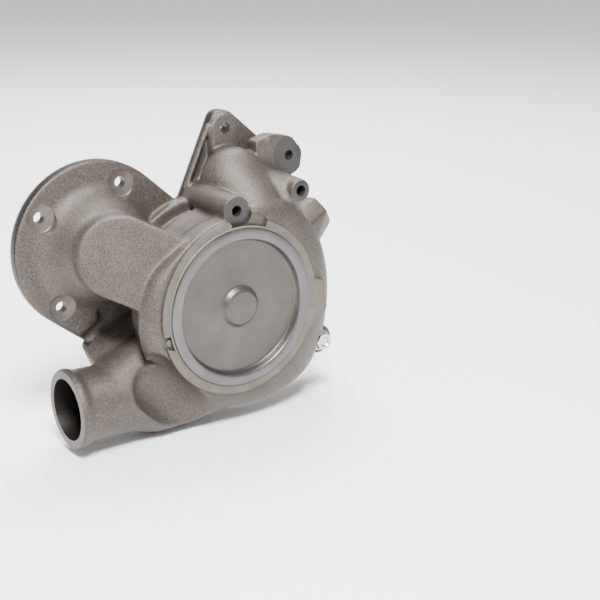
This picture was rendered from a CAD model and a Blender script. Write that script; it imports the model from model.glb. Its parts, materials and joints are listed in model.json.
"""The looks of the gear-driven coolant pump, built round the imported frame.

Lengths here are millimetres in the row frame: x to the right, z up, and depth in
front of the rear joint face, so a point (x, z, depth) lies at (x, -depth, z).
"""

import json
from math import acos, atan2, cos, pi, radians, sin

import bmesh
import bpy
from mathutils import Matrix, Vector
from mathutils.kdtree import KDTree


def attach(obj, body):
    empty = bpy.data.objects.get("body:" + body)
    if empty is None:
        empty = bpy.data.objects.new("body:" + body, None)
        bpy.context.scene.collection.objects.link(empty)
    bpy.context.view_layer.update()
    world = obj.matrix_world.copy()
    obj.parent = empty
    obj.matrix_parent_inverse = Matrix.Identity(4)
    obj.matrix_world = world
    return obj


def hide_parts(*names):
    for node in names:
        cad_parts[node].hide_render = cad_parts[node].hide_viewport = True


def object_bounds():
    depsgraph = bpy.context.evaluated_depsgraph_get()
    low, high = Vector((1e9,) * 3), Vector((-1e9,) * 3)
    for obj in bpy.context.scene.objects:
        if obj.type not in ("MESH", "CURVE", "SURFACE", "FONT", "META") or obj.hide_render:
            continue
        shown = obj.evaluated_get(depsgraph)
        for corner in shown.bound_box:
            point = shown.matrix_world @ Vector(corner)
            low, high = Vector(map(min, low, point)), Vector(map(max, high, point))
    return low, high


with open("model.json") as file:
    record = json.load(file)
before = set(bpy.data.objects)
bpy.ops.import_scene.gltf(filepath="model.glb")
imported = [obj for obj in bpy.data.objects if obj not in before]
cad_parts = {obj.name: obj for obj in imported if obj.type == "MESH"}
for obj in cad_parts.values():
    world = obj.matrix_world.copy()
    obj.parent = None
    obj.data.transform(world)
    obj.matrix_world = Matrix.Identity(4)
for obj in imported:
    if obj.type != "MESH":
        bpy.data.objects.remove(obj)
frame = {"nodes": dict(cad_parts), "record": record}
CAD_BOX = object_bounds()

MM = 0.001
VOXEL = 0.9
SMOOTH_ROUNDS = 24
SOFT_ROUNDS = 80

FLANGE_CENTRE = (-86.5, 47.5)
FLANGE_RADIUS = 65.5
FLANGE_THICKNESS = 8.0
FLANGE_OPENING_RADIUS = 42.5
OUTLET_PORT = (24.8, 87.1)
OUTLET_PORT_RADIUS = 17.5
RETURN_PORT = (68.8, -25.1)
RETURN_PORT_RADIUS = 15.7
DRIVE_OPENING_RADIUS = 37.5
BOLT_HOLE_RADIUS = 4.25
FLANGE_BOLT_HOLES = [(-65.4, 94.2), (-131.0, 76.1), (-118.6, 6.1)]
HIDDEN_BOLT_HOLES = [(-65.4, -40.5), (-11.2, -64.7)]
TOP_LUG = (25.3, 126.5)
TOP_LUG_DEPTH = 11.0
TOP_BOSS = (-0.2, 74.3)
TOP_BOSS_DEPTH = 65.9
SIDE_BOSS = (61.8, 81.1)
SIDE_BOSS_DEPTH = 62.0
LOWER_LUG = (86.8, -49.4)
LOWER_LUG_DEPTH = 53.3
RIGHT_CORNER_HOLE = (108.9, 17.4)
RIGHT_CORNER_DEPTH = 12.0
JOINT_BOLT_HOLES = (FLANGE_BOLT_HOLES + HIDDEN_BOLT_HOLES
                    + [TOP_LUG, TOP_BOSS, SIDE_BOSS, LOWER_LUG, RIGHT_CORNER_HOLE])
BRACKET_LUG = (73.0, 103.0)
BRACKET_LUG_DEPTH = 30.0
BRACKET_LUG_BACK = 17.0
LAND_RADIUS = 69.3
LAND_DEPTH = 71.5
COVER_SEAT = 71.0
COVER_RADIUS = 62.1
STUB_Z = -63.5
STUB_DEPTH = 35.0
STUB_END_X = -132.0
STUB_BORE_RADIUS = 23.5
STUB_BORE_END_X = -103.0

CAMERA_PLACE = (-0.43794, -0.749, 0.26852)
CAMERA_AZIMUTH = 35.98
CAMERA_ELEVATION = 18.04
CAMERA_LENS = 66.9


# Outlines in the x-z plane

def rounded(corners, arc_step=radians(10)):
    """An outline with its corners rounded, from (x, z, radius) corners."""
    outline = []
    count = len(corners)
    for index, (x, z, radius) in enumerate(corners):
        here = Vector((x, z))
        if radius <= 0:
            outline.append((x, z))
            continue
        before = (Vector(corners[index - 1][:2]) - here).normalized()
        after = (Vector(corners[(index + 1) % count][:2]) - here).normalized()
        half = before.angle(after) / 2
        centre = here + (before + after).normalized() * radius / sin(half)
        start = here + before * radius / sin(half) * cos(half) - centre
        end = here + after * radius / sin(half) * cos(half) - centre
        sweep = start.angle(end)
        side = 1.0 if start.x * end.y - start.y * end.x > 0 else -1.0
        steps = max(1, round(sweep / arc_step))
        for step in range(steps + 1):
            spoke = Matrix.Rotation(side * sweep * step / steps, 2) @ start
            outline.append(tuple(centre + spoke))
    return outline


def circle(centre, radius, count=48):
    x, z = centre
    return [(x + radius * cos(2 * pi * step / count), z + radius * sin(2 * pi * step / count))
            for step in range(count)]


def hexagon(centre, across_flats):
    return circle(centre, across_flats / 2 / cos(pi / 6), 6)


def hull_outline(circles, count=48):
    """The belt round a set of (x, z, radius) circles."""
    points = []
    for x, z, radius in circles:
        points += circle((x, z), radius, count)
    points.sort()
    belt = []
    for order in (points, points[::-1]):
        side = []
        for point in order:
            while len(side) > 1 and turn_of(side[-2], side[-1], point) <= 0:
                side.pop()
            side.append(point)
        belt += side[:-1]
    return belt


def turn_of(first, second, third):
    return ((second[0] - first[0]) * (third[1] - first[1])
            - (second[1] - first[1]) * (third[0] - first[0]))


JOINT_CORNERS = [
    (-14.5, 71.5, 4), (17.5, 141.0, 9), (32.0, 139.5, 11), (64.5, 112.0, 8), (78.5, 83.5, 11),
    (45.0, 66.5, 6), (45.5, 46.0, 8), (84.0, 27.0, 8), (121.0, 31.0, 11), (128.5, -30.0, 30),
    (116.0, -66.0, 18), (90.0, -66.5, 14), (40.0, -45.0, 20), (10.0, -57.0, 10), (-5.5, -79.0, 8),
    (-21.0, -72.0, 8),
    (-17.5, -40.5, 4), (-62.0, -55.0, 12), (-84.0, -38.5, 8)]
LOWER_LEFT_WINDOW = [(-49, 2, 4), (-64, 2, 6), (-79, -5, 8), (-98, -4, 5), (-97, -17, 4),
                     (-77, -36, 5), (-42, -31, 5)]
TOP_WINDOW = [(35, 62, 4), (10, 61, 4), (10, 45, 4), (33, 34, 4)]
RIGHT_WINDOW = [(49, 30, 4), (56, -3, 4), (68, 0, 8), (86, -9, 10), (92, -42, 8), (101, -51, 7),
                (118, -44, 7), (109, 4, 8)]


def round_end(centre, radius, arrive_from, leave_to, corners=3):
    """Corners of a clockwise run round a circle, tangent to the lines from and to two points."""
    middle = Vector(centre)
    angles = []
    for point, side in ((arrive_from, 1), (leave_to, -1)):
        spoke = Vector(point) - middle
        angles.append(atan2(spoke.y, spoke.x) - side * acos(radius / spoke.length))
    sweep = (angles[0] - angles[1]) % (2 * pi)
    reach = radius / cos(sweep / corners / 2)
    return [(middle.x + reach * cos(angles[0] - sweep * (index + 0.5) / corners),
             middle.y + reach * sin(angles[0] - sweep * (index + 0.5) / corners), radius)
            for index in range(corners)]


def joint_face(step=radians(4)):
    end = round_end(FLANGE_CENTRE, FLANGE_RADIUS, JOINT_CORNERS[-1][:2], JOINT_CORNERS[0][:2])
    return rounded(JOINT_CORNERS + end, step)


# Solids. Each of these adds one closed shell to a bmesh.

def spot(x, z, depth):
    return Vector((x * MM, -depth * MM, z * MM))


def add_loft(work, rings):
    """Joins rings of points, given back to front, into a closed shell with fan caps."""
    made = [[work.verts.new(point) for point in ring] for ring in rings]
    for lower, upper in zip(made, made[1:]):
        count = len(lower)
        for index in range(count):
            after = (index + 1) % count
            work.faces.new((lower[index], lower[after], upper[after], upper[index]))
    work.faces.new(made[0][::-1])
    work.faces.new(made[-1])


def add_prism(work, outline, back, front, front_of=None):
    """A prism between two depths; front_of(x, z) may give the front a slope."""
    if turn_sum(outline) < 0:
        outline = outline[::-1]
    front_depth = front_of or (lambda x, z: front)
    add_loft(work, [[spot(x, z, back) for x, z in outline],
                    [spot(x, z, front_depth(x, z)) for x, z in outline]])


def turn_sum(outline):
    return sum(x * next_z - next_x * z
               for (x, z), (next_x, next_z) in zip(outline, outline[1:] + outline[:1]))


def add_turned(work, profile, centre=(0.0, 0.0), steps=64):
    """A turned shell from (radius, depth) points listed back to front, with flat ends."""
    add_loft(work, [[spot(x, z, depth) for x, z in circle(centre, radius, steps)]
                    for radius, depth in profile])


def add_turned_x(work, profile, z, depth, steps=64):
    """A turned shell on an axis along X, from (radius, x) points in order of x."""
    turns = [2 * pi * step / steps for step in range(steps)]
    add_loft(work, [[spot(x, z + radius * sin(turn), depth + radius * cos(turn)) for turn in turns]
                    for radius, x in profile])


def add_hull(work, balls, detail=24):
    """The convex skin over (x, z, depth, radius) balls."""
    part = bmesh.new()
    for x, z, depth, radius in balls:
        bmesh.ops.create_uvsphere(part, u_segments=detail, v_segments=detail // 2, radius=radius * MM,
                                  matrix=Matrix.Translation(spot(x, z, depth)))
    skin = bmesh.ops.convex_hull(part, input=part.verts)
    inside = {item for item in skin["geom_interior"] if isinstance(item, bmesh.types.BMVert)}
    bmesh.ops.delete(part, geom=list(inside), context="VERTS")
    kept = {item for item in skin["geom"] if isinstance(item, bmesh.types.BMFace)}
    bmesh.ops.delete(part, geom=[face for face in part.faces if face not in kept], context="FACES_ONLY")
    merge(work, part)


def add_bar(work, radius, start, end, steps=32):
    """A round bar between two (x, z, depth) points."""
    first, last = spot(*start), spot(*end)
    turn = (last - first).to_track_quat("Z", "Y").to_matrix().to_4x4()
    part = bmesh.new()
    bmesh.ops.create_cone(part, cap_ends=True, segments=steps, radius1=radius * MM, radius2=radius * MM,
                          depth=(last - first).length, matrix=Matrix.Translation((first + last) / 2) @ turn)
    merge(work, part)


def turned_part(profile, centre=(0.0, 0.0), steps=64):
    return lambda work: add_turned(work, profile, centre, steps)


def prism_part(outline, back, front):
    return lambda work: add_prism(work, outline, back, front)


def hull_part(balls, detail=24):
    return lambda work: add_hull(work, balls, detail)


def merge(work, part):
    mesh = bpy.data.meshes.new("part")
    bmesh.ops.recalc_face_normals(part, faces=part.faces)
    part.to_mesh(mesh)
    part.free()
    work.from_mesh(mesh)
    bpy.data.meshes.remove(mesh)


def solid(name, *builders):
    """One object from functions that each add closed shells to a bmesh."""
    work = bmesh.new()
    for builder in builders:
        builder(work)
    bmesh.ops.recalc_face_normals(work, faces=work.faces)
    mesh = bpy.data.meshes.new(name)
    work.to_mesh(mesh)
    work.free()
    obj = bpy.data.objects.new(name, mesh)
    bpy.context.scene.collection.objects.link(obj)
    return obj


def baked(obj):
    """Applies the modifiers of an object."""
    graph = bpy.context.evaluated_depsgraph_get()
    mesh = bpy.data.meshes.new_from_object(obj.evaluated_get(graph))
    old = obj.data
    obj.modifiers.clear()
    obj.data = mesh
    bpy.data.meshes.remove(old)
    return obj


def remeshed(obj, voxel):
    step = obj.modifiers.new("voxels", "REMESH")
    step.mode = "VOXEL"
    step.voxel_size = voxel * MM
    return baked(obj)


def smoothed(obj, rounds, factor=0.5):
    step = obj.modifiers.new("smooth", "SMOOTH")
    step.iterations = rounds
    step.factor = factor
    return baked(obj)


def softened(obj, centre, reach, rounds):
    """Smooths the surface near one (x, z, depth) point, fading out at the reach."""
    group = obj.vertex_groups.new(name="soft")
    middle = spot(*centre)
    for point in obj.data.vertices:
        share = 1.0 - (point.co - middle).length / (reach * MM)
        if share > 0.0:
            group.add([point.index], min(1.0, 2.0 * share), "REPLACE")
    step = obj.modifiers.new("soften", "SMOOTH")
    step.iterations = rounds
    step.factor = 0.5
    step.vertex_group = group.name
    baked(obj)
    obj.vertex_groups.clear()
    return obj


def combined(obj, other, operation, finish=None):
    """Cuts or joins another closed object, with the manifold solver, and removes it."""
    if finish is not None:
        other.data.materials.clear()
        other.data.materials.append(finish)
    step = obj.modifiers.new("cut", "BOOLEAN")
    step.operation = operation
    step.object = other
    step.solver = "MANIFOLD"
    step.material_mode = "TRANSFER"
    baked(obj)
    bpy.data.objects.remove(other, do_unlink=True)
    return obj


# Materials

def new_material(name):
    made = bpy.data.materials.new(name)
    made.use_nodes = True
    return made, made.node_tree, made.node_tree.nodes["Principled BSDF"]


def noise(tree, coordinates, scale, detail=3.0, roughness=0.55):
    node = tree.nodes.new("ShaderNodeTexNoise")
    node.inputs["Scale"].default_value = scale
    node.inputs["Detail"].default_value = detail
    node.inputs["Roughness"].default_value = roughness
    tree.links.new(coordinates, node.inputs["Vector"])
    return node.outputs["Fac"]


def ramp(tree, value, stops):
    """A colour ramp from (position, colour) stops."""
    node = tree.nodes.new("ShaderNodeValToRGB")
    elements = node.color_ramp.elements
    while len(elements) < len(stops):
        elements.new(0.5)
    for element, (position, colour) in zip(elements, stops):
        element.position = position
        element.color = (*colour, 1.0)
    tree.links.new(value, node.inputs["Fac"])
    return node.outputs["Color"]


def mixed(tree, first, second, amount, blend="MULTIPLY"):
    node = tree.nodes.new("ShaderNodeMix")
    node.data_type = "RGBA"
    node.blend_type = blend
    node.inputs["Factor"].default_value = amount
    tree.links.new(first, node.inputs[6])
    tree.links.new(second, node.inputs[7])
    return node.outputs[2]


def bump(tree, height, strength, distance, normal=None):
    node = tree.nodes.new("ShaderNodeBump")
    node.inputs["Strength"].default_value = strength
    node.inputs["Distance"].default_value = distance
    tree.links.new(height, node.inputs["Height"])
    if normal is not None:
        tree.links.new(normal, node.inputs["Normal"])
    return node.outputs["Normal"]


def object_coordinates(tree):
    return tree.nodes.new("ShaderNodeTexCoord").outputs["Object"]


def grey(level, tint=(1.0, 1.0, 1.0)):
    return tuple(level * part for part in tint)


def cast_iron_material(name="cast_iron_blasted", level=1.0):
    """Shot-blasted grey iron: warm grey, with a fine sparkling grain and slow mottling."""
    made, tree, shader = new_material(name)
    place = object_coordinates(tree)
    grain = noise(tree, place, 1050.0, 5.0, 0.75)
    pits = noise(tree, place, 2400.0, 3.0, 0.7)
    mottle = noise(tree, place, 48.0, 5.0, 0.6)
    warm = (level, level * 0.84, level * 0.73)
    base = ramp(tree, grain, [(0.3, grey(0.03, warm)), (0.5, grey(0.078, warm)), (0.68, grey(0.17, warm))])
    cloud = ramp(tree, mottle, [(0.3, grey(0.78)), (0.7, grey(1.0))])
    tree.links.new(mixed(tree, base, cloud, 1.0), shader.inputs["Base Color"])
    gloss = ramp(tree, pits, [(0.3, grey(0.52)), (0.7, grey(0.36))])
    tree.links.new(gloss, shader.inputs["Roughness"])
    shader.inputs["Metallic"].default_value = 0.55
    rough = bump(tree, grain, 0.5, 0.0006)
    fine = bump(tree, pits, 0.4, 0.0003, rough)
    tree.links.new(fine, shader.inputs["Normal"])
    return made


def machined_iron_material():
    """Faced iron: a cooler, smoother grey with fine turning marks."""
    made, tree, shader = new_material("machined_iron")
    place = object_coordinates(tree)
    marks = noise(tree, place, 700.0, 3.0)
    mottle = noise(tree, place, 120.0, 3.0)
    base = ramp(tree, mottle, [(0.3, (0.088, 0.076, 0.063)), (0.7, (0.125, 0.109, 0.092))])
    tree.links.new(base, shader.inputs["Base Color"])
    shader.inputs["Metallic"].default_value = 0.6
    gloss = ramp(tree, marks, [(0.3, grey(0.36)), (0.7, grey(0.5))])
    tree.links.new(gloss, shader.inputs["Roughness"])
    tree.links.new(bump(tree, marks, 0.15, 0.0002), shader.inputs["Normal"])
    return made


def spotface_material():
    """Faces cut by a spotfacing tool: dark blue-grey iron."""
    made, tree, shader = new_material("spotfaced_iron")
    marks = noise(tree, object_coordinates(tree), 900.0, 3.0)
    base = ramp(tree, marks, [(0.3, (0.036, 0.034, 0.033)), (0.7, (0.06, 0.057, 0.055))])
    tree.links.new(base, shader.inputs["Base Color"])
    shader.inputs["Metallic"].default_value = 0.6
    shader.inputs["Roughness"].default_value = 0.45
    tree.links.new(bump(tree, marks, 0.2, 0.0002), shader.inputs["Normal"])
    return made


def metal_material(name, dark, light, roughness, metallic=1.0, scale=300.0, bump_strength=0.1):
    made, tree, shader = new_material(name)
    place = object_coordinates(tree)
    smears = noise(tree, place, scale, 4.0)
    slow = noise(tree, place, scale / 12, 3.0)
    base = ramp(tree, slow, [(0.3, dark), (0.7, light)])
    tree.links.new(base, shader.inputs["Base Color"])
    shader.inputs["Metallic"].default_value = metallic
    gloss = ramp(tree, smears, [(0.3, grey(roughness * 0.85)), (0.7, grey(roughness * 1.15))])
    tree.links.new(gloss, shader.inputs["Roughness"])
    tree.links.new(bump(tree, smears, bump_strength, 0.0002), shader.inputs["Normal"])
    return made


def gasket_material():
    """Grey fibre sheet with short fibres and flecks."""
    made, tree, shader = new_material("gasket_fibre")
    place = object_coordinates(tree)
    fibres = noise(tree, place, 1500.0, 5.0, 0.75)
    flecks = noise(tree, place, 420.0, 3.0, 0.6)
    base = ramp(tree, fibres, [(0.3, (0.14, 0.14, 0.145)), (0.55, (0.22, 0.22, 0.226)),
                               (0.75, (0.33, 0.33, 0.335))])
    cloud = ramp(tree, flecks, [(0.35, grey(0.8)), (0.65, grey(1.1))])
    tree.links.new(mixed(tree, base, cloud, 1.0), shader.inputs["Base Color"])
    shader.inputs["Roughness"].default_value = 0.88
    tree.links.new(bump(tree, fibres, 0.4, 0.0002), shader.inputs["Normal"])
    return made


CAST = cast_iron_material()
CASTING_SKIN = cast_iron_material("dark_casting_skin", 0.22)
MACHINED = machined_iron_material()
SPOTFACE = spotface_material()
STEEL = metal_material("turned_steel", (0.38, 0.375, 0.37), (0.5, 0.49, 0.48), 0.3)
COVER = metal_material("pressed_steel", (0.078, 0.069, 0.064), (0.098, 0.087, 0.081), 0.4, 0.85, 500.0, 0.1)
COVER_RIM = metal_material("pressed_steel_rim", (0.1, 0.096, 0.095), (0.13, 0.125, 0.124), 0.36, 0.9, 500.0,
                           0.1)
ZINC = metal_material("zinc_plating", (0.4, 0.4, 0.385), (0.55, 0.55, 0.54), 0.28)
BRASS = metal_material("pressed_brass", (0.5, 0.37, 0.14), (0.62, 0.47, 0.2), 0.33)
RUBBER = metal_material("black_rubber", (0.018, 0.018, 0.018), (0.03, 0.03, 0.03), 0.6, 0.0, 800.0, 0.3)
CARBON = metal_material("carbon_graphite", (0.03, 0.03, 0.033), (0.055, 0.055, 0.06), 0.4, 0.1, 900.0, 0.15)
CERAMIC = metal_material("ceramic", (0.7, 0.68, 0.63), (0.78, 0.76, 0.71), 0.28, 0.0, 900.0, 0.05)
SEALANT = metal_material("dried_sealant", (0.055, 0.06, 0.045), (0.11, 0.112, 0.088), 0.55, 0.0, 350.0, 0.6)
GASKET = gasket_material()


# The casting

ARM_DIRECTION = Vector((-FLANGE_CENTRE[0], -FLANGE_CENTRE[1])).normalized()
ARM_HALF_WIDTH = 31.0
TONGUE_CORNERS = [(58, 13, 0), (79, 8.5, 1.5), (81.3, -15, 3), (76, -19, 3), (67, -23, 3), (53, -43.5, 2),
                  (44, -43, 0)]

# The volute's outer wall: (angle in degrees, radius) round the shaft, near its front and behind
# its widest level, then its levels as (depth, wall, share of the way out from the cover rim)
VOLUTE_FRONT = [(0, 90), (15, 90), (30, 91), (45, 90), (60, 88), (75, 80), (90, 71.5), (110, 71), (135, 73),
                (155, 78.5), (180, 81.5), (205, 82.5), (230, 83), (255, 83), (275, 86), (295, 92),
                (315, 97.5), (335, 94), (348, 91)]
VOLUTE_REAR = [(0, 90), (15, 90), (30, 91), (45, 90), (60, 86), (75, 78), (90, 70), (110, 69.5), (135, 69.5),
               (155, 69.5), (180, 69.5), (205, 69.5), (230, 70), (255, 77), (275, 86), (295, 92), (315, 97.5),
               (335, 94), (348, 91)]
VOLUTE_STEPS = 120
RIM_RADIUS = 70.6
VOLUTE_LEVELS = [
    (24, VOLUTE_REAR, -0.3), (30, VOLUTE_REAR, 0.35), (36, VOLUTE_REAR, 0.9), (42, VOLUTE_REAR, 1.0),
    (49, VOLUTE_REAR, 1.0), (55, VOLUTE_FRONT, 0.98), (59, VOLUTE_FRONT, 1.0), (62, VOLUTE_FRONT, 0.93),
    (66, VOLUTE_FRONT, 0.66), (68.5, VOLUTE_FRONT, 0.36), (69.6, VOLUTE_FRONT, 0.12),
    (69.7, VOLUTE_FRONT, -0.2)]


def arm_depth(x, z):
    """Depth of the arm's sloping front, rising from the flange's dome to the pump chamber."""
    along = (Vector((x, z)) - Vector(FLANGE_CENTRE)).dot(ARM_DIRECTION)
    return 36.0 + 0.43 * (along + ARM_HALF_WIDTH)


def volute_radius(points, angle):
    """A radius at an angle in degrees, by a smooth curve through (angle, radius) points."""
    angle %= 360
    count = len(points)
    index = max(i for i in range(count) if points[i][0] <= angle)
    picks = [points[(index + offset) % count] for offset in (-1, 0, 1, 2)]
    angles = [pick[0] for pick in picks]
    if angles[0] > angles[1]:
        angles[0] -= 360
    for place in (2, 3):
        while angles[place] < angles[place - 1]:
            angles[place] += 360
    share = (angle - angles[1]) / (angles[2] - angles[1])
    radii = [pick[1] for pick in picks]
    slope_in = (radii[2] - radii[0]) / (angles[2] - angles[0]) * (angles[2] - angles[1])
    slope_out = (radii[3] - radii[1]) / (angles[3] - angles[1]) * (angles[2] - angles[1])
    return ((2 * share ** 3 - 3 * share ** 2 + 1) * radii[1]
            + (share ** 3 - 2 * share ** 2 + share) * slope_in
            + (3 * share ** 2 - 2 * share ** 3) * radii[2]
            + (share ** 3 - share ** 2) * slope_out)


def volute_ring(depth, points, share):
    ring = []
    for step in range(VOLUTE_STEPS):
        angle = 360 * step / VOLUTE_STEPS
        radius = RIM_RADIUS + (volute_radius(points, angle) - RIM_RADIUS) * share
        ring.append(spot(radius * cos(radians(angle)), radius * sin(radians(angle)), depth))
    return ring


def add_volute(work):
    add_loft(work, [volute_ring(*level) for level in VOLUTE_LEVELS])


def add_sector(work, radius, first, last, back, front):
    """A pie slice round the shaft axis between two angles in degrees."""
    rim = [(radius * cos(radians(angle)), radius * sin(radians(angle)))
           for angle in range(first, last + 1, 3)]
    add_prism(work, [(0.0, 0.0)] + rim, back, front)


def add_block(work, points, radius):
    """The convex skin over equal small balls at (x, z, depth) points."""
    add_hull(work, [(*point, radius) for point in points], 12)


def flange_and_arm(work):
    add_prism(work, joint_face(), -1.5, FLANGE_THICKNESS)
    dome = [(52.0, 3), (51.0, 8.1), (48.5, 8.7), (46.0, 9.8), (43, 12.2), (40, 15.8), (37, 20.5), (34, 25.5),
            (31, 29.3), (27, 32.2), (20, 33.6)]
    add_turned(work, dome, FLANGE_CENTRE, 96)
    arm = hull_outline([(*FLANGE_CENTRE, ARM_HALF_WIDTH), (-24, 13.2, ARM_HALF_WIDTH)], 72)
    add_prism(work, arm, 4.0, 0.0, arm_depth)


def pump_chamber(work):
    add_volute(work)
    add_turned(work, [(66, 3), (66, 45)], steps=72)
    add_sector(work, 77.0, 84, 158, 3.0, 15.0)
    add_turned(work, [(21, 2), (21, 38)], RETURN_PORT)
    add_prism(work, rounded(TONGUE_CORNERS), 56.0, LAND_DEPTH + 1.2)
    add_prism(work, rounded([(96, 42, 4), (99, 0, 10), (92, -34, 10), (60, -20, 0), (60, 40, 0)]), 4.0, 38.0)


def bosses(work):
    add_turned(work, [(12.4, 2), (11.6, 40), (11.4, TOP_BOSS_DEPTH + 0.7)], TOP_BOSS, 48)
    add_turned(work, [(10.5, 30), (9.6, 52), (8.8, SIDE_BOSS_DEPTH + 0.7)], SIDE_BOSS, 48)
    add_turned(work, [(12.4, 2), (12.4, LOWER_LUG_DEPTH + 0.6)], LOWER_LUG, 48)
    add_turned(work, [(9.8, 2), (9.8, RIGHT_CORNER_DEPTH)], RIGHT_CORNER_HOLE, 48)
    add_hull(work, [(80.0, -43.0, 44.0, 9.0), (70.0, -36.0, 40.0, 14.0), (84.0, -48.0, 12.0, 9.0)])


def outlet_elbow(work):
    pad = hull_outline([(25.2, 126.3, 11.6), (25.6, 98.0, 11.8)])
    add_prism(work, pad, 3.0, TOP_LUG_DEPTH + 0.5)
    add_bar(work, 2.6, (12.5, 130.0, 7.4), (-9.0, 83.0, 7.4))
    add_hull(work, [(*OUTLET_PORT, 19.0, 26.5), (31.0, 66.0, 40.0, 24.5), (44.0, 84.0, 22.0, 20.0)])
    add_hull(work, [(*SIDE_BOSS, 50.0, 9.0), (*SIDE_BOSS, 34.0, 13.0), (60.0, 74.0, 18.0, 15.0),
                    (50.0, 60.0, 50.0, 14.0), (46.0, 78.0, 32.0, 19.0)])
    add_block(work, [(86, 59, 32), (99, 63, 29), (102, 55, 40), (75, 46, 50), (111, 44, 33), (101, 35, 34),
                     (80, 26, 50), (98, 60, 10), (111, 44, 10), (101, 35, 10), (80, 59, 10)], 2.0)
    lug = rounded([(41, 117, 3), (56, 121.5, 6), (76, 118, 9), (86.5, 106, 8), (84.5, 90.5, 8),
                   (70, 84, 4), (52, 88, 4), (42, 102, 3)])
    add_prism(work, lug, BRACKET_LUG_BACK, BRACKET_LUG_DEPTH + 0.7)
    add_block(work, [(54, 116, 30), (45, 104, 28), (54, 116, 20), (45, 104, 20)], 3.0)


def hose_stub(work):
    stub = [(29.2, STUB_END_X - 1), (30.6, STUB_END_X + 1.5), (30.6, STUB_END_X + 5.0),
            (28.4, STUB_END_X + 9.0), (28.0, -98.0), (28.4, -84.0), (28.4, -60.0)]
    add_turned_x(work, stub, STUB_Z, STUB_DEPTH)
    root = [(-84.0, STUB_Z, STUB_DEPTH, 28.4), (-60.0, -71.0, 35.0, 27.5), (-14.0, -65.0, 40.0, 28.0)]
    add_hull(work, root, 40)
    back = [(-99.0, -63.5, 35.0, 28.0), (-70.0, -50.0, 20.5, 18.5), (-38.0, -28.0, 24.0, 17.0)]
    add_hull(work, back, 32)


def stub_web():
    """The web that rises from the joint plate to the hose stub."""
    balls = [(-100, -30, 0.2, 2.5), (-86, -18, 0.2, 2.5), (-60, -9, 0.2, 2.5), (-95, -46, 14, 4.0),
             (-86, -50, 34, 12.0), (-62, -42, 34, 12.0)]
    return solid("stub_web", hull_part(balls))


# Where the casting's surface is smoothed further: ((x, z, depth), reach)
SOFT_PLACES = [((-58.0, -54.0, 54.0), 30.0), ((-112.0, 50.0, 30.0), 26.0), ((-84.0, -26.0, 8.0), 24.0)]


def rough_casting():
    return solid("housing_casting", flange_and_arm, pump_chamber, bosses, outlet_elbow, hose_stub)


def rough_hollows():
    """Hollows in the outer form: beside the stub, below the flange, and the top lug's pocket."""
    def build(work):
        add_hull(work, [(-70.5, -52.0, 67.0, 20.5), (-56.0, -71.0, 69.0, 20.0), (-76.0, -36.0, 68.0, 13.5),
                        (-40.0, -86.0, 76.0, 19.0)], 32)
        step = rounded([(-110, -24, 0), (-86.5, -9.5, 2.5), (-91, -1.5, 2), (-84, 1.5, 4), (-60, 2, 0),
                        (-56, -6, 0), (-80, -24, 0), (-106, -40, 0)])
        add_prism(work, step, 3.2, 16.0)
        add_prism(work, rounded([(12, 126, 1.5), (-5, 88, 1.5), (4, 86, 3), (12.8, 105, 3)]), 4.6, 14.0)
    return solid("rough_hollows", build)


def channel_outline(steps=72):
    """The volute's channel, 8 mm inside its outer wall."""
    outline = []
    for step in range(steps):
        angle = 360 * (step + 0.3) / steps
        radius = volute_radius(VOLUTE_REAR, angle) - 8.0
        outline.append((radius * cos(radians(angle)), radius * sin(radians(angle))))
    return outline


def cut_waterways(body):
    """The cast passages and pockets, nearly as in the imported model."""
    def ports(work):
        add_turned(work, [(OUTLET_PORT_RADIUS, -5), (OUTLET_PORT_RADIUS, 24)], OUTLET_PORT)
        add_turned(work, [(RETURN_PORT_RADIUS, -5), (RETURN_PORT_RADIUS, 16)], RETURN_PORT)

    def stub_bore(work):
        bore = [(STUB_BORE_RADIUS, STUB_END_X - 10), (STUB_BORE_RADIUS, STUB_BORE_END_X)]
        add_turned_x(work, bore, STUB_Z, STUB_DEPTH)

    arm_outline = hull_outline([(*FLANGE_CENTRE, 23.0), (-30, 16.5, 21.0)])
    flange_recess = [(FLANGE_OPENING_RADIUS, -5), (FLANGE_OPENING_RADIUS, 3), (38, 8), (33, 15), (28, 22),
                     (24, 26)]
    bends = [[(25.3, 86.2, 21.2, 18.3), (34.0, 61.0, 43.0, 15.5), (38.0, 46.5, 52.5, 6.7)],
             [(*RETURN_PORT, 15.3, 16.4), (44.0, -16.0, 25.5, 11.6)],
             [(STUB_BORE_END_X, STUB_Z, STUB_DEPTH - 0.5, 23.9), (-70.0, -50.0, 20.0, 14.0)],
             [(-69.6, -50.2, 20.2, 14.3), (-38.0, -28.0, 24.0, 12.3)]]
    builders = [turned_part([(57, 12), (57, 40.5)], steps=96), prism_part(channel_outline(), 46.0, 62.0),
                prism_part(arm_outline, 12.0, 31.5), ports, turned_part([(31, 37), (31, 47.5)]),
                turned_part(flange_recess, FLANGE_CENTRE, 96), stub_bore]
    builders += [hull_part(balls, 32) for balls in bends]
    for corners, depth in ((LOWER_LEFT_WINDOW, 1.6), (TOP_WINDOW, 4.5), (RIGHT_WINDOW, 4.5)):
        builders.append(prism_part(rounded(corners), -5.0, depth))
    for builder in builders:
        combined(body, solid("passage", builder), "DIFFERENCE", CASTING_SKIN)


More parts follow.
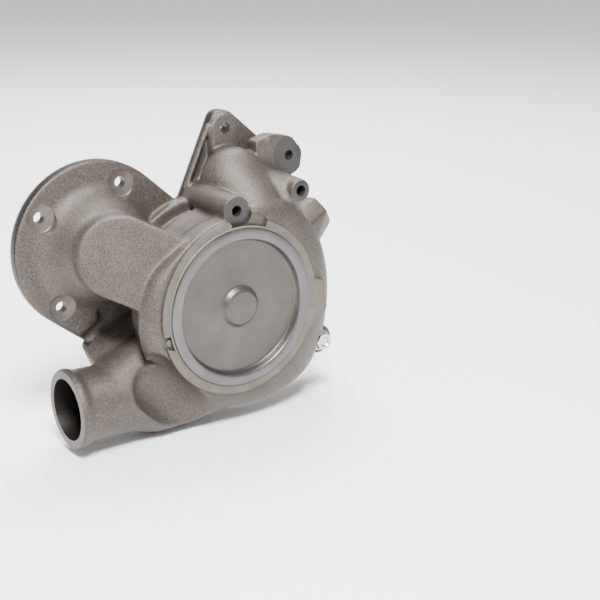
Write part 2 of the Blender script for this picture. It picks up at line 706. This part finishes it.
def add_bearing_tube(body):
    """The bearing housing in the middle of the chamber, its rib, bores and drain hole."""
    hub = [(31.5, 2), (31.5, 24), (24.5, 38), (20.5, 46), (18.5, 50)]
    combined(body, solid("tube", turned_part(hub, steps=72)), "UNION", CAST)
    rib = [(-6, -20), (6, -20), (6, -64), (-6, -64)]
    combined(body, solid("rib", prism_part(rib, 6.0, 45.0)), "UNION", CAST)
    bores = [(26.3, -5), (26.3, 2.9), (28.3, 2.9), (28.3, 4.9), (26.3, 4.9), (26.3, 20.3), (20.3, 20.3),
             (20.3, 35.8), (10.5, 35.8), (10.5, 37.3), (12.8, 37.3), (12.8, 44.2), (15.3, 44.2), (15.3, 53)]
    combined(body, solid("bores", turned_part(bores, steps=96)), "DIFFERENCE", MACHINED)
    drain = solid("drain", lambda work: add_bar(work, 2.5, (0, -5, 43.2), (0, -110, 43.2)))
    combined(body, drain, "DIFFERENCE", CAST)


def raised_land(body):
    """The ring round the cover, which stands proud of the volute."""
    ring = [(LAND_RADIUS, 62), (LAND_RADIUS, LAND_DEPTH - 0.5), (LAND_RADIUS - 0.5, LAND_DEPTH + 0.2)]
    combined(body, solid("land", turned_part(ring, steps=160)), "UNION", CAST)


def along_outline(outline, spacing=1.0):
    """A search tree of points spaced along a closed (x, z) outline."""
    points = []
    for (x, z), (next_x, next_z) in zip(outline, outline[1:] + outline[:1]):
        start, step = Vector((x, z, 0.0)), Vector((next_x - x, next_z - z, 0.0))
        count = max(1, round(step.length / spacing))
        points += [start + step * index / count for index in range(count)]
    tree = KDTree(len(points))
    for index, point in enumerate(points):
        tree.insert(point, index)
    tree.balance()
    return tree


def dark_edge(body):
    """Gives the joint plate's outer edge the dark skin that the casting keeps there."""
    body.data.materials.append(CASTING_SKIN)
    skin = len(body.data.materials) - 1
    edge = along_outline(joint_face())
    for face in body.data.polygons:
        depth = -face.center.y / MM
        if 0.0 < depth < FLANGE_THICKNESS - 1.2 and abs(face.normal.y) < 0.6:
            distance = edge.find((face.center.x / MM, face.center.z / MM, 0.0))[2]
            if distance < 2.2:
                face.material_index = skin


def stub_end(work):
    add_turned_x(work, [(40, STUB_END_X - 20), (40, STUB_END_X)], STUB_Z, STUB_DEPTH)


def land_gaps(work):
    left = rounded([(-70.5, -9.5, 1), (-59, -11, 0), (-59, -22.5, 0), (-68.5, -19.0, 1)])
    add_prism(work, left, 69.0, 80.0)
    top = rounded([(-9, 70, 1), (-8, 60, 0), (21, 58, 0), (24.5, 66.5, 2), (15, 71, 2)])
    add_prism(work, top, 68.6, 80.0)


def spotfaces():
    """The counterbored spotfaces of the flange, and the faces of the bosses and the bracket lug."""
    face = FLANGE_THICKNESS
    profile = [(5.6, face - 1.3), (7.2, face - 0.5), (9.9, face - 0.4), (10.8, face + 0.3), (12.4, 20.0)]
    flange = [turned_part(profile, hole) for hole in FLANGE_BOLT_HOLES]
    ends = []
    for centre, radius, depth in ((TOP_BOSS, 12, TOP_BOSS_DEPTH), (SIDE_BOSS, 14, SIDE_BOSS_DEPTH),
                                  (LOWER_LUG, 11.2, LOWER_LUG_DEPTH)):
        ends.append(turned_part([(radius, depth), (radius, 100.0)], centre))
    ends.append(turned_part([(15.5, BRACKET_LUG_DEPTH), (15.5, 60)], BRACKET_LUG))
    return flange, ends


def drilled_holes():
    holes = []
    for hole in JOINT_BOLT_HOLES:
        front = 12.0 if hole in HIDDEN_BOLT_HOLES else 100.0
        holes.append(turned_part([(BOLT_HOLE_RADIUS, -10.0), (BOLT_HOLE_RADIUS, front)], hole, 40))
    holes.append(turned_part([(4.0, 5.0), (4.0, 60.0)], BRACKET_LUG, 40))
    return holes


def machined_cuts():
    """The last cuts, as (finish, builders): joint face, cover bore, land, stub end, spotfaces and holes."""
    seat = COVER_RADIUS + 0.3
    rear = prism_part([(-170, -120), (150, -120), (150, 170), (-170, 170)], -20.0, 0.0)
    front_bore = turned_part([(58.5, 60), (58.5, COVER_SEAT), (seat, COVER_SEAT), (seat, LAND_DEPTH),
                              (LAND_RADIUS, LAND_DEPTH), (LAND_RADIUS, 110)], steps=160)
    flat = rounded([(50, 16, 0), (85, 16, 0), (85, -21, 0), (75, -21.5, 0), (69, -25, 0), (54, -48, 0),
                    (42, -48, 0)])
    tongue = prism_part(flat, LAND_DEPTH, 80.0)
    flange_faces, boss_faces = spotfaces()
    return [(MACHINED, [rear, front_bore]), (MACHINED, [tongue]), (CAST, [stub_end]), (CAST, [land_gaps]),
            (MACHINED, flange_faces), (SPOTFACE, boss_faces), (SPOTFACE, drilled_holes())]


def housing():
    body = remeshed(rough_casting(), VOXEL)
    combined(body, rough_hollows(), "DIFFERENCE")
    combined(body, stub_web(), "UNION")
    remeshed(body, VOXEL)
    smoothed(body, SMOOTH_ROUNDS)
    for centre, reach in SOFT_PLACES:
        softened(body, centre, reach, SOFT_ROUNDS)
    body.data.materials.clear()
    body.data.materials.append(CAST)
    dark_edge(body)
    raised_land(body)
    cut_waterways(body)
    for finish, group in machined_cuts():
        combined(body, solid("machining", *group), "DIFFERENCE", finish)
    add_bearing_tube(body)
    finished(body, "pump_housing", 38)


def finished(obj, node, sharp_angle=40):
    """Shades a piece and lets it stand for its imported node."""
    for face in obj.data.polygons:
        face.use_smooth = True
    obj.data.set_sharp_from_angle(angle=radians(sharp_angle))
    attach(obj, "housing")
    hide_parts(node)


def front_cover():
    """The dished steel cover: a raised rim, a recessed disc and a round button in the middle."""
    front = [(11.6, 71.45), (13.0, 71.2), (14.2, 70.3), (15.6, 68.2), (16.6, 67.55), (17.6, 67.4),
             (50.6, 67.4), (51.6, 67.6), (52.3, 68.4), (53.2, 71.8), (53.8, 72.8), (54.8, 73.3),
             (60.6, 73.35), (61.6, 73.1), (62.1, 72.4)]
    back = [(62.1, 71.3), (56.0, 71.3), (55.0, 70.9), (54.3, 66.0), (52.8, 65.4), (15.6, 65.4), (12.0, 69.3)]
    work = bmesh.new()
    add_turned(work, front + back, steps=192)
    bmesh.ops.recalc_face_normals(work, faces=work.faces)
    mesh = bpy.data.meshes.new("cover_plate")
    work.to_mesh(mesh)
    work.free()
    cover = bpy.data.objects.new("cover_plate", mesh)
    bpy.context.scene.collection.objects.link(cover)
    mesh.materials.append(COVER)
    mesh.materials.append(COVER_RIM)
    for face in mesh.polygons:
        if Vector((face.center.x, face.center.z)).length > 52.4 * MM:
            face.material_index = 1
    finished(cover, "front_cover")


BEAD_SECTION = [(62.4, 71.6), (62.4, 72.2), (63.0, 72.3), (63.6, 71.9), (63.8, 71.6)]
BEAD_STEPS = 128


def sealant_bead():
    """Sealant squeezed out beside the cover, thickest in the gap on the left."""
    def bead(work):
        made = [[work.verts.new(spot(x, z, depth)) for x, z in circle((0, 0), radius, BEAD_STEPS)]
                for radius, depth in BEAD_SECTION]
        for lower, upper in zip(made, made[1:] + made[:1]):
            for index in range(BEAD_STEPS):
                after = (index + 1) % BEAD_STEPS
                work.faces.new((lower[index], lower[after], upper[after], upper[index]))

    blob = [(-63.8, -14.5, 69.6, 1.5), (-63.2, -17.5, 69.4, 1.2), (-65.3, -16.0, 69.2, 1.2)]
    obj = solid("sealant_bead", bead, hull_part(blob))
    obj.data.materials.append(SEALANT)
    finished(obj, "cover_sealant")


def add_thread(work, axis, core, crest, start, end, pitch=1.25, steps=32):
    """A helical thread as a closed shell along the depth direction."""
    levels = round((start - end) / pitch * 6)
    rings = []
    for level in range(levels + 1):
        depth = end + (start - end) * level / levels
        ring = []
        for step in range(steps):
            phase = (depth / pitch - step / steps) % 1.0
            radius = core + (crest - core) * (1 - abs(2 * phase - 1))
            angle = 2 * pi * step / steps
            ring.append(spot(axis[0] + radius * cos(angle), axis[1] + radius * sin(angle), depth))
        rings.append(ring)
    add_loft(work, rings)


def flange_bolt():
    """The zinc-plated M8 bolt in the lower lug, with a dished hexagon head on a wide flange."""
    seat = LOWER_LUG_DEPTH + 0.3
    flange = [(8.6, seat), (9.0, seat + 0.4), (9.0, seat + 1.1), (8.4, seat + 1.6), (6.7, seat + 2.6),
              (6.4, seat + 3.4)]
    obj = solid("bolt_body", turned_part(flange, LOWER_LUG))
    obj.data.materials.append(ZINC)
    head = solid("bolt_hexagon", prism_part(hexagon(LOWER_LUG, 13.0), seat + 1.4, seat + 7.6))
    corner = [(7.9, seat + 1.0), (7.9, seat + 6.6), (6.4, seat + 7.6)]
    combined(head, solid("bolt_chamfer", turned_part(corner, LOWER_LUG)), "INTERSECT", ZINC)
    dish = [(3.4, seat + 6.4), (4.9, seat + 8.2)]
    combined(head, solid("bolt_dish", turned_part(dish, LOWER_LUG, 48)), "DIFFERENCE", ZINC)
    combined(obj, head, "UNION", ZINC)
    shank = [(3.6, seat - 32), (3.6, seat + 0.6)]
    combined(obj, solid("bolt_shank", turned_part(shank, LOWER_LUG, 32)), "UNION", ZINC)
    start, end = seat - 30.4, seat - 65.0
    thread = solid("bolt_thread", lambda work: add_thread(work, LOWER_LUG, 3.3, 3.95, start, end))
    combined(obj, thread, "UNION", ZINC)
    finished(obj, "flange_bolt", 30)


def plate_object(name, outline, back, front, holes, finish):
    """A flat plate with holes, each hole an outline, cut cleanly."""
    obj = solid(name, prism_part(outline, back, front))
    obj.data.materials.append(finish)
    cutter = solid("holes", *[prism_part(hole, back - 3, front + 3) for hole in holes])
    return combined(obj, cutter, "DIFFERENCE", finish)


def gasket():
    holes = [circle(FLANGE_CENTRE, FLANGE_OPENING_RADIUS, 96), circle((0.0, 0.0), DRIVE_OPENING_RADIUS, 96),
             circle(OUTLET_PORT, OUTLET_PORT_RADIUS, 64), circle(RETURN_PORT, RETURN_PORT_RADIUS, 64),
             rounded(LOWER_LEFT_WINDOW), rounded(TOP_WINDOW), rounded(RIGHT_WINDOW)]
    holes += [circle(hole, BOLT_HOLE_RADIUS, 32) for hole in JOINT_BOLT_HOLES]
    sheet = plate_object("gasket_sheet", joint_face(), -1.1, -0.3, holes, GASKET)
    finished(sheet, "gasket")


# The finish of each material slot in the record
FINISHES = {
    "cast_iron": CAST, "steel": STEEL, "cover_steel": COVER, "zinc": ZINC, "brass": BRASS, "rubber": RUBBER,
    "carbon": CARBON, "ceramic": CERAMIC, "gasket_fibre": GASKET, "sealant": SEALANT}


def dress_cad_nodes():
    for subpart in frame["record"]["subparts"]:
        node = frame["nodes"][subpart["node"]]
        node.data.materials.clear()
        node.data.materials.append(FINISHES[subpart["material_slot"]])


# Stage

def area_light(name, place, aim, size, power):
    data = bpy.data.lights.new(name, "AREA")
    data.shape = "DISK"
    data.size = size
    data.energy = power
    lamp = bpy.data.objects.new(name, data)
    lamp.location = place
    lamp.rotation_euler = (Vector(aim) - Vector(place)).to_track_quat("-Z", "Y").to_euler()
    bpy.context.scene.collection.objects.link(lamp)


def stage():
    floor_z = CAD_BOX[0][2] - 0.0005
    mesh = bpy.data.meshes.new("floor")
    work = bmesh.new()
    bmesh.ops.create_grid(work, x_segments=1, y_segments=1, size=6.0)
    work.to_mesh(mesh)
    work.free()
    floor = bpy.data.objects.new("floor", mesh)
    floor.location = (0.0, 0.0, floor_z)
    bpy.context.scene.collection.objects.link(floor)
    pale, _, shader = new_material("pale_floor")
    shader.inputs["Base Color"].default_value = (0.95, 0.95, 0.95, 1.0)
    shader.inputs["Roughness"].default_value = 0.9
    floor.data.materials.append(pale)

    world = bpy.data.worlds.new("soft_white")
    world.use_nodes = True
    world.node_tree.nodes["Background"].inputs["Color"].default_value = (1.0, 1.0, 1.0, 1.0)
    world.node_tree.nodes["Background"].inputs["Strength"].default_value = 0.8
    bpy.context.scene.world = world
    area_light("key", (-0.4, -0.85, 1.2), (-0.02, -0.03, 0.02), 0.45, 74.0)
    area_light("floor_wash", (0.5, 0.9, 1.7), (0.4, 1.0, -0.1), 1.2, 90.0)

    lens = bpy.data.cameras.new("camera")
    lens.sensor_width = 36.0
    lens.lens = CAMERA_LENS
    lens.clip_start = 0.01
    camera = bpy.data.objects.new("camera", lens)
    azimuth, elevation = radians(CAMERA_AZIMUTH), radians(CAMERA_ELEVATION)
    forward = Vector((sin(azimuth) * cos(elevation), cos(azimuth) * cos(elevation), -sin(elevation)))
    camera.location = CAMERA_PLACE
    camera.rotation_euler = forward.to_track_quat("-Z", "Y").to_euler()
    bpy.context.scene.collection.objects.link(camera)
    bpy.context.scene.camera = camera


dress_cad_nodes()
housing()
front_cover()
gasket()
sealant_bead()
flange_bolt()
stage()
